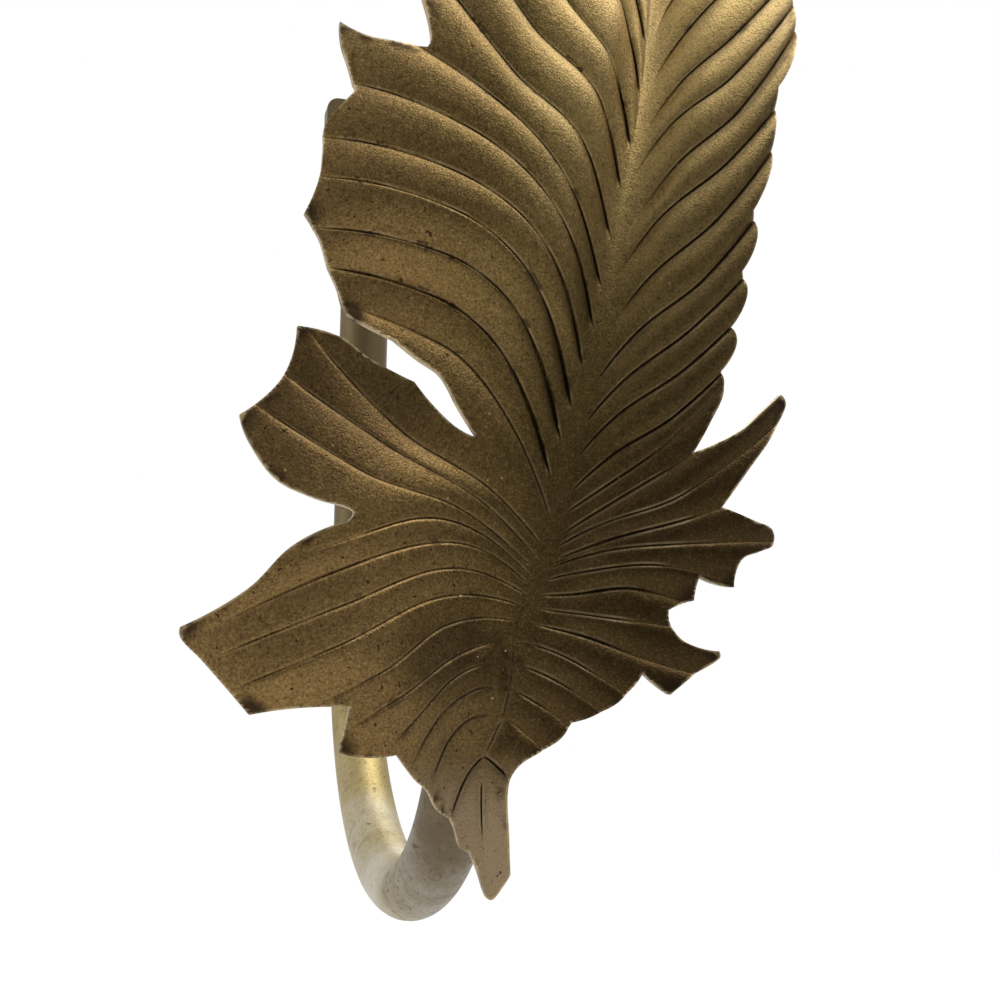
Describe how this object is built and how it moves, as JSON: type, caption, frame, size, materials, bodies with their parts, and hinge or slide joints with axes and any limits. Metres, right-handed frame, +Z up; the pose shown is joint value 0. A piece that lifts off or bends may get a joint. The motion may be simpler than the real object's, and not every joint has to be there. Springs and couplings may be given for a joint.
{
  "type": "curtain holdback",
  "caption": "Wall-fixed curtain holdback: a brass bar bent into an upward hook, carrying a large pressed leaf with lobes and chased veins on its front end.",
  "frame": {"origin": "middle of the two screw holes, on the wall face of the bar's flattened end", "axes": "+Y into the wall, the room and the leaf lie toward -Y; +Z up; +X to the right as seen from the room"},
  "size_m": [0.0845, 0.1065, 0.178],
  "materials": {
    "bar_brass": "satin, lightly tarnished",
    "leaf_brass": "antique brown patina, darker in the vein grooves"
  },
  "bodies": {
    "root": {"arm": "bar_brass", "leaf": "leaf_brass"}
  },
  "joints": []
}
